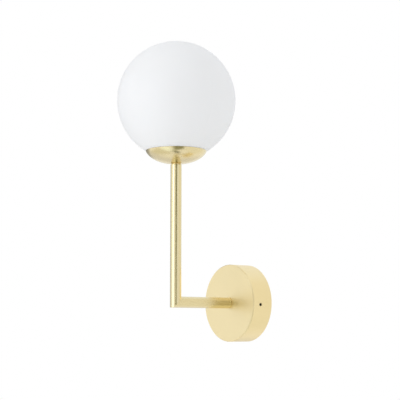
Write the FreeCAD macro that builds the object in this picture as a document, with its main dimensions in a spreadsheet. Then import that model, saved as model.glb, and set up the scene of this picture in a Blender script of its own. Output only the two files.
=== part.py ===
import FreeCAD, Part
import Sketcher
import math
import os
import re

# Globe wall sconce. Millimetres, +Z up, the wall is the plane y = 0 and the light stands out along -Y.
# The origin is the centre of the bracket's back face, on the arm's axis.

SIZES = [
    ("globe_radius", 75.0, "outer radius of the glass globe"),
    ("globe_wall", 3.0, "thickness of the opal glass"),
    ("mouth_radius", 28.0, "radius of the ground hole under the globe"),
    ("globe_height", 254.3, "globe centre above the arm's axis"),
    ("glass_gap", 0.3, "space between the glass and what it sits on"),
    ("tube_radius", 7.0, "outer radius of arm and riser"),
    ("tube_wall", 1.0, "wall of arm and riser"),
    ("tube_chamfer", 0.6, "chamfer on the square end of arm and riser"),
    ("arm_reach", 85.0, "canopy face to riser axis"),
    ("cutting_margin", 1.0, "how far a cutting outline stands clear of the metal"),
    ("canopy_radius", 49.5, "outer radius of the canopy"),
    ("canopy_depth", 30.0, "wall to canopy face"),
    ("canopy_wall", 2.5, "side wall of the canopy"),
    ("canopy_face", 2.5, "face of the canopy"),
    ("canopy_chamfer", 0.8, "chamfer round the canopy face"),
    ("canopy_corner", 1.5, "turned radius inside the canopy"),
    ("thread_radius", 5.0, "outer radius of the hollow threaded nipples"),
    ("thread_bore", 3.5, "bore radius of the nipples"),
    ("thread_gap", 0.05, "radial space in a tapped hole"),
    ("hole_gap", 0.2, "radial space of a clearance hole"),
    ("bush_length", 12.0, "length of the tapped bushes in the tubes"),
    ("nipple_grip", 10.5, "length of nipple inside a bush"),
    ("nipple_proud", 1.6, "length of nipple past its nut"),
    ("edge_break", 0.4, "chamfer on the ends of turned parts"),
    ("nut_flats", 14.0, "thin nut, across flats"),
    ("nut_height", 3.0, "height of the thin nut"),
    ("nut_slope", 0.5, "fall of the thin nut's corners for each millimetre outwards"),
    ("washer_radius", 7.8, "outer radius of the lock washers"),
    ("washer_height", 0.8, "thickness of the lock washers"),
    ("rim_radius", 38.4, "outer radius of the dish at its rim"),
    ("rim_draw", 0.7, "how much wider the ellipse is that the dish is spun to"),
    ("dish_half_height", 20.2, "half height of that ellipse"),
    ("dish_wall", 1.5, "wall of the dish"),
    ("dish_flat_radius", 7.2, "radius of the flat under the dish"),
    ("rim_bevel", 1.5, "drop of the rim's bevel towards the glass"),
    ("shadow_gap", 1.0, "reveal between riser and dish"),
    ("shadow_radius", 5.7, "radius of the bush's collar in that reveal"),
    ("spacer_height", 4.0, "collar under the gallery plate"),
    ("spacer_inset", 0.4, "how far that collar stays inside the dish's flat"),
    ("leaf_wall", 0.8, "thickness of the gallery plate"),
    ("leaf_slant_wall", 1.2, "level thickness of a leaf where it rises"),
    ("leaf_width", 8.0, "width of one leaf spring"),
    ("leaf_hold", 0.5, "how far under the glass's inner edge a leaf bears on it"),
    ("leaf_tip_rise", 4.0, "height of a leaf's tip over that bearing"),
    ("leaf_tip_draw", 2.2, "how far a tip is drawn in from the glass"),
    ("gallery_radius", 18.0, "radius of the gallery plate"),
    ("leaf_root", 3.0, "how far a leaf starts inside the plate's edge"),
    ("seat_start", 0.145, "inner edge of the soft seat ring, as a share of the way from mouth to rim"),
    ("seat_end", 0.577, "outer edge of that ring, as a share of the same way"),
    ("seat_gap", 0.05, "space under the seat ring's edges"),
    ("holder_radius", 11.0, "radius of the ceramic lampholder"),
    ("holder_height", 18.0, "height of the ceramic lampholder"),
    ("holder_flat", 8.5, "half width across the lampholder's flats"),
    ("holder_lift", 16.0, "gallery plate to lampholder"),
    ("holder_chamfer", 0.8, "chamfer round the lampholder's top"),
    ("bracket_wall", 1.0, "sheet of the lampholder bracket"),
    ("bracket_width", 15.0, "width of the lampholder bracket"),
    ("bracket_bend", 1.0, "inner bend radius of the lampholder bracket"),
    ("bracket_rise", 10.0, "how far the bracket's legs reach up the lampholder"),
    ("bracket_gap", 0.1, "space between bracket legs and lampholder"),
    ("pin_pitch", 9.0, "distance between the two bulb pins"),
    ("contact_width", 2.8, "outer width of a contact channel"),
    ("contact_length", 6.0, "length of a contact channel"),
    ("contact_wall", 0.4, "sheet of a contact channel"),
    ("contact_lift", 4.0, "foot of the contacts above the lampholder's base"),
    ("contact_sink", 2.0, "top of the contacts below the lampholder's top"),
    ("contact_gap", 0.3, "space round a contact in its slot"),
    ("side_screw_radius", 1.45, "radius of the lampholder screws"),
    ("side_screw_depth", 4.0, "depth of those screws in the ceramic"),
    ("side_screw_height", 6.0, "height of those screws above the lampholder's base"),
    ("side_head_radius", 2.7, "head radius of those screws"),
    ("side_head_height", 1.8, "head height of those screws"),
    ("bulb_gap", 0.3, "space between bulb and lampholder"),
    ("bulb_foot_radius", 7.0, "radius at the bulb base's foot"),
    ("bulb_base_radius", 8.0, "radius of the bulb base"),
    ("bulb_base_height", 14.0, "height of the bulb base"),
    ("bulb_radius", 8.6, "radius of the frosted diffuser"),
    ("bulb_height", 48.0, "height of the bulb above its foot"),
    ("bulb_wall", 1.0, "wall of the diffuser"),
    ("spigot_height", 2.0, "base spigot inside the diffuser"),
    ("spigot_gap", 0.1, "space round that spigot"),
    ("pin_radius", 0.45, "wire radius of a bulb pin"),
    ("pin_loop", 1.6, "half width of a pin's wire loop"),
    ("pin_length", 11.5, "length of a bulb pin"),
    ("plate_wall", 2.0, "steel of the wall bracket"),
    ("plate_radius", 25.0, "radius of the wall bracket's centre"),
    ("bar_half_height", 9.0, "half height of the wall bracket's bar and ears"),
    ("ear_gap", 2.7, "space between an ear and the canopy's side wall"),
    ("ear_depth", 22.0, "how far the ears stand off the wall"),
    ("ear_bend", 1.0, "inner bend radius of the ears"),
    ("cable_hole_radius", 10.0, "radius of the cable hole in the wall bracket"),
    ("slot_spacing", 64.0, "distance between the two wall slots"),
    ("slot_length", 14.0, "overall length of a wall slot"),
    ("slot_radius", 2.6, "half width of a wall slot"),
    ("set_screw_radius", 2.0, "radius of the set screws"),
    ("set_screw_length", 4.0, "length of the set screws"),
    ("set_screw_depth", 18.5, "set screws off the wall"),
    ("set_screw_drop", 2.6, "set screws under the arm's axis"),
    ("set_screw_gap", 0.2, "space between a set screw's tip and its ear"),
    ("socket_flats", 2.0, "hexagon socket, across flats"),
    ("socket_depth", 1.8, "depth of the hexagon socket"),
    ("tip_bevel", 0.6, "bevel of a set screw's tip"),
    ("strap_wall", 1.0, "sheet of the terminal strap"),
    ("strap_half_width", 7.0, "half width of the terminal strap"),
    ("strap_top", 22.0, "upper end of the strap above the arm's axis"),
    ("strap_bottom", 38.0, "lower end of the strap under the arm's axis"),
    ("joggle_start", 9.0, "where the strap bends, under the arm's axis"),
    ("joggle", 7.0, "offset of the strap towards the wall"),
    ("block_top", 21.0, "top of the terminal block under the arm's axis"),
    ("block_height", 16.0, "height of the terminal block"),
    ("block_depth", 13.0, "depth of the terminal block"),
    ("pole_pitch", 8.0, "distance between poles"),
    ("block_notch", 1.2, "depth of the notches between poles"),
    ("clamp_radius", 2.0, "outer radius of a brass clamp"),
    ("clamp_bore", 1.3, "bore radius of a brass clamp"),
    ("clamp_length", 12.0, "length of a brass clamp"),
    ("clamp_gap", 0.1, "space round a clamp"),
    ("clamp_screw_radius", 1.1, "radius of a clamp screw"),
    ("clamp_screw_offset", 3.5, "clamp screws from the middle of the block"),
    ("clamp_screw_sink", 1.4, "clamp screws below the block's face"),
    ("screw_hole_gap", 0.3, "space round clamp and block screws"),
    ("block_screw_radius", 1.2, "radius of the block's fixing screws"),
    ("block_head_radius", 1.7, "head radius of the block's fixing screws"),
    ("block_head_height", 1.2, "head height of the block's fixing screws"),
    ("earth_height", 17.0, "earth screws above the arm's axis"),
    ("earth_radius", 1.95, "radius of the earth screws"),
    ("earth_head_radius", 3.7, "head radius of the earth screws"),
    ("earth_head_height", 2.4, "head height of the earth screws"),
    ("pan_flat", 0.6, "flat top of a pan head as a share of its radius"),
    ("earth_hole_gap", 0.1, "space round the earth screws"),
    ("earth_washer_radius", 4.6, "radius of the earth washer"),
    ("screw_end_gap", 0.3, "space behind a screw's end"),
    ("tag_radius", 4.0, "radius of the ring tag"),
    ("tag_wall", 0.8, "sheet of the ring tag"),
    ("tag_neck", 1.2, "half width of the tag's neck"),
    ("barrel_start", 5.0, "tag barrel from the screw"),
    ("barrel_length", 5.0, "length of the tag barrel"),
    ("barrel_radius", 1.6, "outer radius of the tag barrel"),
    ("lead_radius", 1.0, "outer radius of an internal lead"),
    ("lead_gap", 0.1, "space round a lead in the tag barrel"),
    ("lead_offset", 1.3, "leads from the axis inside the tubes"),
    ("elbow_bend", 16.0, "bend radius of the leads in the mitred corner"),
    ("canopy_bend", 6.0, "bend radius of the leads behind the nipple"),
    ("lead_bend", 6.5, "bend radius of the leads over the nipple"),
    ("pole_bend", 5.0, "bend radius of the leads beside the terminal block"),
    ("earth_lead_out", 20.0, "how far the earth lead loops sideways"),
    ("earth_lead_lean", 2.0, "how far that loop leans back on its way down"),
    ("lead_straight", 5.0, "straight end of a lead"),
    ("lead_drop", 7.5, "height over which the leads spread to their poles"),
]

# Points closer than this are one point, in millimetres.
SAME_POINT = 1e-6
# Smallest change of volume that counts as one, in cubic millimetres.
LEAST_VOLUME = 1e-6
# A lead's volume may differ by this share from its section times its length.
LEAD_TOLERANCE = 0.01

DISH_HALF_WIDTH = "(rim_radius + rim_draw)"
RIM = "(globe_height - sqrt((globe_radius + glass_gap)^2 - rim_radius^2))"
RIM_DROP = f"(dish_half_height * sqrt(1 - (rim_radius / {DISH_HALF_WIDTH})^2))"
DISH_CENTRE = f"({RIM} + {RIM_DROP})"
DISH_FLAT_DROP = f"(dish_half_height * sqrt(1 - (dish_flat_radius / {DISH_HALF_WIDTH})^2))"
DISH_BOTTOM = f"({DISH_CENTRE} - {DISH_FLAT_DROP})"
DISH_FLOOR = f"({DISH_BOTTOM} + dish_wall)"
RISER_TOP = f"({DISH_BOTTOM} - shadow_gap)"
GALLERY = f"({DISH_FLOOR} + spacer_height)"
GALLERY_TOP = f"({GALLERY} + leaf_wall)"
CUP_WASHER = f"({GALLERY_TOP} + bracket_wall)"
CUP_NUT = f"({CUP_WASHER} + washer_height)"
HOLDER_BASE = f"({GALLERY_TOP} + holder_lift)"
HOLDER_TOP = f"({HOLDER_BASE} + holder_height)"
BULB_FOOT = f"({HOLDER_TOP} + bulb_gap)"
RISER_REACH = "(canopy_depth + arm_reach)"
FACE_INNER = "(canopy_depth - canopy_face)"
CANOPY_INSIDE = "(canopy_radius - canopy_wall)"
EAR_REACH = f"({CANOPY_INSIDE} - ear_gap)"
STRAP_BACK = f"({FACE_INNER} - strap_wall)"
CANOPY_NUT = f"({STRAP_BACK} - washer_height - nut_height)"
NIPPLE_END = f"({CANOPY_NUT} - nipple_proud)"
BLOCK_FRONT = f"({STRAP_BACK} - joggle)"
BLOCK_BACK = f"({BLOCK_FRONT} - block_depth)"
BLOCK_MIDDLE = f"({BLOCK_FRONT} - block_depth / 2)"
POLE_LEVEL = "(block_top + block_height / 2)"
HOLE = "(thread_radius + hole_gap)"
BORE = "(tube_radius - tube_wall)"

# Turns a piece that is drawn upright so that its Z axis points out from the wall and its Y axis up.
FACING_OUT = FreeCAD.Rotation(FreeCAD.Vector(1, 0, 0), 90)
POINTING_DOWN = FreeCAD.Rotation(FreeCAD.Vector(0, 1, 0), 180)
POINTING_RIGHT = FreeCAD.Rotation(FreeCAD.Vector(0, 1, 0), 90)
POINTING_LEFT = FreeCAD.Rotation(FreeCAD.Vector(0, 1, 0), -90)
UPRIGHT = FreeCAD.Rotation()

doc = FreeCAD.newDocument("globe_wall_sconce")
sheet = doc.addObject("Spreadsheet::Sheet", "sizes")
for row, (alias, value, meaning) in enumerate(SIZES, 1):
    sheet.set(f"A{row}", meaning)
    sheet.set(f"B{row}", str(value))
    sheet.setAlias(f"B{row}", alias)
doc.recompute()

ALIASES = {alias for alias, value, meaning in SIZES}
pieces = []


def linked(expression):
    """The expression with every size name pointing at its cell."""
    def cell(word):
        return "sizes." + word.group() if word.group() in ALIASES else word.group()
    return re.sub(r"[a-z_][a-z_0-9]*", cell, expression)


def number(expression):
    """The present value of an expression of sizes."""
    return float(sheet.evalExpression(expression))


def bind(thing, target, expression):
    thing.setExpression(target, linked(expression))


def place(thing, rotation, across="0", reach="0", height="0"):
    """Puts a piece at x = across, y = -reach, z = height."""
    thing.Placement = FreeCAD.Placement(FreeCAD.Vector(), rotation)
    bind(thing, "Placement.Base.x", across)
    bind(thing, "Placement.Base.y", f"-1 * ({reach})")
    bind(thing, "Placement.Base.z", height)


def new_body(name):
    body = doc.addObject("PartDesign::Body", name)
    body.Label = name
    pieces.append(body)
    return body


def new_sketch(body, plane, offset="0"):
    sketch = body.newObject("Sketcher::SketchObject", f"{body.Name}_sketch")
    origin_plane = [item for item in body.Origin.OriginFeatures if item.Role == plane][0]
    sketch.AttachmentSupport = [(origin_plane, "")]
    sketch.MapMode = "FlatFace"
    bind(sketch, "AttachmentOffset.Base.z", offset)
    return sketch


def constrain(sketch, kind, *rest, expression=None):
    value = [] if expression is None else [number(expression)]
    index = sketch.addConstraint(Sketcher.Constraint(kind, *rest, *value))
    if expression is not None:
        bind(sketch, f"Constraints[{index}]", expression)


def pin_coordinate(sketch, kind, edge, end, expression):
    """Fixes a point of the sketch by one coordinate, DistanceX or DistanceY, given in sizes."""
    if expression == "0":
        constrain(sketch, "PointOnObject", edge, end, -2 if kind == "DistanceX" else -1)
    elif number(expression) < 0:
        constrain(sketch, kind, edge, end, -1, 1, expression=f"-1 * ({expression})")
    else:
        constrain(sketch, kind, -1, 1, edge, end, expression=expression)


def pin_point(sketch, edge, end, across, along):
    pin_coordinate(sketch, "DistanceX", edge, end, across)
    pin_coordinate(sketch, "DistanceY", edge, end, along)


def circle(sketch, radius, across="0", along="0"):
    centre = FreeCAD.Vector(number(across), number(along), 0)
    edge = sketch.addGeometry(Part.Circle(centre, FreeCAD.Vector(0, 0, 1), number(radius)), False)
    constrain(sketch, "Radius", edge, expression=radius)
    pin_point(sketch, edge, 3, across, along)


def add_arc(sketch, start, end, centre_across, centre_along, turn):
    """A circular arc; turn is 1 where the outline runs anticlockwise along it, otherwise -1."""
    centre = FreeCAD.Vector(number(centre_across), number(centre_along), 0)
    first, last = (start, end) if turn > 0 else (end, start)
    whole = Part.Circle(centre, FreeCAD.Vector(0, 0, 1), (start - centre).Length)
    edge = sketch.addGeometry(Part.ArcOfCircle(whole, whole.parameter(first), whole.parameter(last)), False)
    # both ends are fixed later, so one coordinate of the centre is left to give
    chord = end - start
    if abs(chord.x) < abs(chord.y):
        pin_coordinate(sketch, "DistanceX", edge, 3, centre_across)
    else:
        pin_coordinate(sketch, "DistanceY", edge, 3, centre_along)
    return edge, (1, 2) if turn > 0 else (2, 1)


def add_ellipse_arc(sketch, start, end, half_width, half_height, turn):
    """An arc of an ellipse about the sketch's origin."""
    first, last = (start, end) if turn > 0 else (end, start)
    oval = Part.Ellipse(FreeCAD.Vector(), number(half_width), number(half_height))
    edge = sketch.addGeometry(Part.ArcOfEllipse(oval, oval.parameter(first), oval.parameter(last)), False)
    sketch.exposeInternalGeometry(edge)
    constrain(sketch, "Coincident", edge, 3, -1, 1)
    constrain(sketch, "Horizontal", edge + 1)
    return edge, (1, 2) if turn > 0 else (2, 1)


def outline(sketch, corners, curves=None):
    """A closed outline through corners; curves names the edges, by their first corner, that are arcs."""
    curves = curves or {}
    points = [FreeCAD.Vector(number(across), number(along), 0) for across, along in corners]
    edges = []
    for index, start in enumerate(points):
        end = points[(index + 1) % len(points)]
        if index not in curves:
            line = sketch.addGeometry(Part.LineSegment(start, end), False)
            edges.append((line, 1, 2))
        elif curves[index][0] == "arc":
            arc, ends = add_arc(sketch, start, end, *curves[index][1:])
            edges.append((arc, *ends))
        else:
            arc, ends = add_ellipse_arc(sketch, start, end, *curves[index][1:])
            edges.append((arc, *ends))
    for index, (across, along) in enumerate(corners):
        before, unused, before_end = edges[index - 1]
        edge, edge_start, unused = edges[index]
        constrain(sketch, "Coincident", before, before_end, edge, edge_start)
        pin_point(sketch, edge, edge_start, across, along)


def rectangle(sketch, left, right, low, high):
    outline(sketch, [(left, low), (right, low), (right, high), (left, high)])


def slot(sketch, middle, length, radius):
    """A slot along the sketch's first axis, with round ends."""
    left = f"({middle} - {length} / 2 + {radius})"
    right = f"({middle} + {length} / 2 - {radius})"
    corners = [(left, f"-1 * {radius}"), (right, f"-1 * {radius}"), (right, radius), (left, radius)]
    outline(sketch, corners, {1: ("arc", right, "0", 1), 3: ("arc", left, "0", 1)})


def hexagon(sketch, flats):
    half = f"{flats} / 2"
    corner = f"{flats} / sqrt(3)"
    low = f"{flats} / (2 * sqrt(3))"
    outline(sketch, [(half, low), ("0", corner), (f"-1 * {half}", low),
                     (f"-1 * {half}", f"-1 * {low}"), ("0", f"-1 * {corner}"), (half, f"-1 * {low}")])


def add_feature(body, kind, sketch):
    feature = body.newObject(f"PartDesign::{kind}", f"{body.Name}_{kind.lower()}")
    feature.Profile = sketch
    sketch.Visibility = False
    return feature


def settle(body, grows):
    """Recomputes and makes sure that the last feature added or removed material."""
    before = settle.volumes.get(body.Name, 0.0)
    doc.recompute()
    volume = body.Shape.Volume
    if (volume > before) != grows or abs(volume - before) < LEAST_VOLUME:
        raise ValueError(f"{body.Name}: the last feature changed nothing")
    settle.volumes[body.Name] = volume


settle.volumes = {}


def pad(body, sketch, length, both_sides=False):
    feature = add_feature(body, "Pad", sketch)
    feature.Midplane = both_sides
    bind(feature, "Length", length)
    settle(body, True)
    return feature


def cut_through(body, sketch):
    feature = add_feature(body, "Pocket", sketch)
    feature.Type = "ThroughAll"
    feature.Midplane = True
    settle(body, False)
    return feature


def cut_down(body, sketch, depth, upwards=False):
    feature = add_feature(body, "Pocket", sketch)
    feature.Reversed = upwards
    bind(feature, "Length", depth)
    settle(body, False)
    return feature


def revolve(body, sketch, removes=False):
    feature = add_feature(body, "Groove" if removes else "Revolution", sketch)
    feature.ReferenceAxis = (sketch, ["V_Axis"])
    feature.Angle = 360
    settle(body, not removes)
    return feature


def turned(name, corners, curves=None):
    """A body turned about its own Z axis from an outline of (radius, height) corners."""
    body = new_body(name)
    sketch = new_sketch(body, "XZ_Plane")
    outline(sketch, corners, curves)
    revolve(body, sketch)
    return body


def round_bends(body, label, corners, radius):
    """Rounds the straight edges whose two ends both lie on one of the corners, given as axis: size."""
    base = body.Tip

    def lies_on(edge, corner):
        return all(abs(getattr(vertex.Point, axis) - number(size)) < SAME_POINT
                   for vertex in edge.Vertexes for axis, size in corner.items())

    rounding = body.newObject("PartDesign::Fillet", f"{body.Name}_{label}")
    rounding.Base = (base, [f"Edge{index}" for index, edge in enumerate(base.Shape.Edges, 1)
                            if any(lies_on(edge, corner) for corner in corners)])
    bind(rounding, "Radius", radius)
    doc.recompute()
    settle.volumes[body.Name] = body.Shape.Volume


def ring(name, inner, outer, height, chamfer="edge_break"):
    """A turned ring with its outer edges broken."""
    return turned(name, [
        (inner, "0"), (f"{outer} - {chamfer}", "0"), (outer, chamfer),
        (outer, f"{height} - {chamfer}"), (f"{outer} - {chamfer}", height), (inner, height)])


def group(name, shapes):
    """Separate solids of one kind in one node."""
    feature = doc.addObject("Part::Feature", name)
    feature.Label = name
    feature.Shape = Part.makeCompound(shapes)
    feature.Placement = FreeCAD.Placement()
    pieces.append(feature)
    return feature


def cylinder(radius, length, start, direction):
    start, direction = FreeCAD.Vector(*start), FreeCAD.Vector(*direction)
    return Part.makeCylinder(number(radius), number(length), start, direction)


# Metalwork on the wall

def wall_bracket():
    """Flat steel bar with a round centre and two ears bent out from the wall."""
    body = new_body("wall_bracket")
    centre = new_sketch(body, "XY_Plane")
    circle(centre, "plate_radius")
    pad(body, centre, "plate_wall")
    # bar and ears are one bent strip, drawn from above and as wide as the bar
    strip = new_sketch(body, "XZ_Plane")
    inner = f"({EAR_REACH} - plate_wall)"
    outline(strip, [
        (f"-1 * {EAR_REACH}", "0"), (EAR_REACH, "0"), (EAR_REACH, "ear_depth"), (inner, "ear_depth"),
        (inner, "plate_wall"), (f"-1 * {inner}", "plate_wall"), (f"-1 * {inner}", "ear_depth"),
        (f"-1 * {EAR_REACH}", "ear_depth")])
    pad(body, strip, "2 * bar_half_height", both_sides=True)
    round_bends(body, "inner_bends", [
        {"x": inner, "z": "plate_wall"}, {"x": f"-1 * {inner}", "z": "plate_wall"}], "ear_bend")
    round_bends(body, "outer_bends", [
        {"x": EAR_REACH, "z": "0"}, {"x": f"-1 * {EAR_REACH}", "z": "0"}], "ear_bend + plate_wall")
    holes = new_sketch(body, "XY_Plane")
    circle(holes, "cable_hole_radius")
    circle(holes, "(earth_radius + thread_gap)", "0", "earth_height")
    slot(holes, "slot_spacing / 2", "slot_length", "slot_radius")
    slot(holes, "-1 * slot_spacing / 2", "slot_length", "slot_radius")
    cut_through(body, holes)
    place(body, FACING_OUT)


def pan_screw(name, radius, length, head_radius, head_height):
    """Pan-head screw whose head sits above z = 0 and whose shank runs down."""
    low = f"-1 * ({length})"
    return turned(name, [
        ("0", low), (f"{radius} - edge_break", low), (radius, f"edge_break - ({length})"), (radius, "0"),
        (head_radius, "0"), (head_radius, f"{head_height} / 2"),
        (f"{head_radius} * pan_flat", head_height), ("0", head_height)])


def earth_fixings():
    """Earth screw and washer of the wall bracket."""
    washer = ring("earth_washer", "(earth_radius + earth_hole_gap)", "earth_washer_radius",
                  "washer_height", "washer_height / 4")
    place(washer, FACING_OUT, "0", "plate_wall", "earth_height")
    screw = pan_screw("earth_screw", "earth_radius", "plate_wall + washer_height - screw_end_gap",
                      "earth_head_radius", "earth_head_height")
    place(screw, FACING_OUT, "0", "plate_wall + washer_height", "earth_height")


def set_screw(name, rotation, side):
    """Grub screw with a hexagon socket, drawn with its tip down."""
    body = new_body(name)
    profile = new_sketch(body, "XZ_Plane")
    outline(profile, [
        ("0", "0"), ("set_screw_radius - tip_bevel", "0"), ("set_screw_radius", "tip_bevel"),
        ("set_screw_radius", "set_screw_length - edge_break"),
        ("set_screw_radius - edge_break", "set_screw_length"), ("0", "set_screw_length")])
    revolve(body, profile)
    socket = new_sketch(body, "XY_Plane", "set_screw_length")
    hexagon(socket, "socket_flats")
    cut_down(body, socket, "socket_depth")
    place(body, rotation, f"{side} * ({EAR_REACH} + set_screw_gap)", "set_screw_depth", "-1 * set_screw_drop")


# Canopy, arm and riser

def canopy_cover():
    """Turned canopy, open at the wall, with a centre hole and two tapped side holes."""
    corner_reach = f"{CANOPY_INSIDE} - canopy_corner"
    corner_depth = f"{FACE_INNER} - canopy_corner"
    body = turned("canopy_cover", [
        (HOLE, "canopy_depth"), ("canopy_radius - canopy_chamfer", "canopy_depth"),
        ("canopy_radius", "canopy_depth - canopy_chamfer"), ("canopy_radius", "0"), (CANOPY_INSIDE, "0"),
        (CANOPY_INSIDE, corner_depth), (corner_reach, FACE_INNER), (HOLE, FACE_INNER)],
        {5: ("arc", corner_reach, corner_depth, 1)})
    side_holes = new_sketch(body, "YZ_Plane")
    circle(side_holes, "(set_screw_radius + thread_gap)", "-1 * set_screw_drop", "set_screw_depth")
    cut_through(body, side_holes)
    place(body, FACING_OUT)


def mitred_tube(name, length):
    """Tube from z = 0 to a 45 degree mitre whose plane meets the axis at the given length."""
    far = f"({length} + tube_radius)"
    body = turned(name, [
        (BORE, "0"), ("tube_radius - tube_chamfer", "0"), ("tube_radius", "tube_chamfer"),
        ("tube_radius", far), (BORE, far)])
    mitre = new_sketch(body, "YZ_Plane")
    margin = "(tube_radius + cutting_margin)"
    outline(mitre, [
        (f"-1 * {margin}", f"{length} + {margin}"), (margin, f"{length} - {margin}"),
        (margin, f"{length} + {margin}")])
    cut_through(body, mitre)
    return body


def tapped_bush(name, collar=False):
    """Bush brazed in the end of a tube, tapped right through; the collar stands in the reveal."""
    inner = "(thread_radius + thread_gap)"
    corners = [(inner, "-1 * bush_length"), (f"{BORE} - edge_break", "-1 * bush_length"),
               (BORE, "edge_break - bush_length"), (BORE, "0")]
    if collar:
        corners += [("shadow_radius", "0"), ("shadow_radius", "shadow_gap"), (inner, "shadow_gap")]
    else:
        corners += [(inner, "0")]
    return turned(name, corners)


def nipple(name, length):
    """Hollow threaded tube."""
    return turned(name, [
        ("thread_bore", "0"), ("thread_radius - edge_break", "0"), ("thread_radius", "edge_break"),
        ("thread_radius", f"{length} - edge_break"), ("thread_radius - edge_break", length),
        ("thread_bore", length)])


def thin_nut(name):
    """Thin hexagon nut with its corners turned off on both faces."""
    body = new_body(name)
    section = new_sketch(body, "XY_Plane")
    hexagon(section, "nut_flats")
    circle(section, "(thread_radius + thread_gap)")
    pad(body, section, "nut_height")
    corners = new_sketch(body, "XZ_Plane")
    outer = "(nut_flats / sqrt(3) + cutting_margin)"
    drop = f"(({outer} - nut_flats / 2) * nut_slope)"
    over = "nut_height + cutting_margin"
    outline(corners, [("nut_flats / 2", "nut_height"), (outer, f"nut_height - {drop}"), (outer, over),
                      ("nut_flats / 2", over)])
    revolve(body, corners, removes=True)
    return body


def arm_and_riser():
    arm = mitred_tube("arm_tube", "arm_reach")
    place(arm, FACING_OUT, "0", "canopy_depth")
    riser = mitred_tube("riser_tube", RISER_TOP)
    place(riser, POINTING_DOWN, "0", RISER_REACH, RISER_TOP)
    arm_bush = tapped_bush("arm_bush")
    place(arm_bush, FreeCAD.Rotation(FreeCAD.Vector(1, 0, 0), -90), "0", "canopy_depth")
    riser_bush = tapped_bush("riser_bush", collar=True)
    place(riser_bush, UPRIGHT, "0", RISER_REACH, RISER_TOP)
    arm_nipple = nipple("arm_nipple", f"canopy_depth + nipple_grip - {NIPPLE_END}")
    place(arm_nipple, FACING_OUT, "0", NIPPLE_END)
    washer = ring("canopy_lock_washer", HOLE, "washer_radius", "washer_height", "washer_height / 4")
    place(washer, FACING_OUT, "0", f"{STRAP_BACK} - washer_height")
    nut = thin_nut("canopy_nut")
    place(nut, FreeCAD.Rotation(FreeCAD.Vector(1, 0, 0), -90), "0", f"{STRAP_BACK} - washer_height")


# Connection block in the canopy

def terminal_strap():
    """Strap clamped under the canopy nut, set back towards the wall where it carries the block."""
    body = new_body("terminal_strap")
    profile = new_sketch(body, "YZ_Plane")
    bend = "strap_wall * (sqrt(2) - 1)"
    low = f"({FACE_INNER} - joggle)"
    outline(profile, [
        ("strap_top", FACE_INNER), ("-1 * joggle_start", FACE_INNER), ("-1 * (joggle_start + joggle)", low),
        ("-1 * strap_bottom", low), ("-1 * strap_bottom", f"{low} - strap_wall"),
        (f"{bend} - joggle_start - joggle", f"{low} - strap_wall"),
        (f"{bend} - joggle_start", STRAP_BACK), ("strap_top", STRAP_BACK)])
    pad(body, profile, "2 * strap_half_width", both_sides=True)
    holes = new_sketch(body, "XY_Plane")
    circle(holes, HOLE)
    circle(holes, "(earth_radius + thread_gap)", "0", "earth_height")
    circle(holes, "(block_screw_radius + thread_gap)", "pole_pitch / 2", f"-1 * {POLE_LEVEL}")
    circle(holes, "(block_screw_radius + thread_gap)", "-1 * pole_pitch / 2", f"-1 * {POLE_LEVEL}")
    cut_through(body, holes)
    place(body, FACING_OUT)


def terminal_block():
    """Three-pole insulating block with round ways for the clamps and screw wells towards the wall."""
    body = new_body("terminal_block")
    section = new_sketch(body, "XY_Plane")
    half = "(3 * pole_pitch / 2)"
    rectangle(section, f"-1 * {half}", half, "-1 * block_height / 2", "block_height / 2")
    pad(body, section, "block_depth")
    ways = new_sketch(body, "XZ_Plane")
    for pole in ("-1 * pole_pitch", "0", "pole_pitch"):
        circle(ways, "(clamp_radius + clamp_gap)", pole, "block_depth / 2")
    cut_through(body, ways)
    wells = new_sketch(body, "XY_Plane")
    for pole in ("-1 * pole_pitch", "0", "pole_pitch"):
        for row_side in ("-1 * clamp_screw_offset", "clamp_screw_offset"):
            circle(wells, "(clamp_screw_radius + screw_hole_gap)", pole, row_side)
    cut_down(body, wells, "block_depth / 2", upwards=True)
    fixings = new_sketch(body, "XY_Plane")
    circle(fixings, "(block_screw_radius + thread_gap)", "pole_pitch / 2")
    circle(fixings, "(block_screw_radius + thread_gap)", "-1 * pole_pitch / 2")
    cut_through(body, fixings)
    counterbores = new_sketch(body, "XY_Plane")
    circle(counterbores, "(block_head_radius + thread_gap)", "pole_pitch / 2")
    circle(counterbores, "(block_head_radius + thread_gap)", "-1 * pole_pitch / 2")
    cut_down(body, counterbores, "block_head_height + screw_end_gap", upwards=True)
    notches = new_sketch(body, "XY_Plane")
    for side in ("-1", "1"):
        for pole_side in ("-1", "1"):
            middle = f"{side} * pole_pitch / 2"
            edge = f"{pole_side} * block_height / 2"
            inward = f"{pole_side} * (block_height / 2 - block_notch)"
            outward = f"{pole_side} * (block_height / 2 + cutting_margin)"
            low, high = (inward, outward) if pole_side == "1" else (outward, inward)
            rectangle(notches, f"{middle} - block_notch / 2", f"{middle} + block_notch / 2", low, high)
    cut_through(body, notches)
    place(body, FACING_OUT, "0", BLOCK_BACK, f"-1 * {POLE_LEVEL}")


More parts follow.
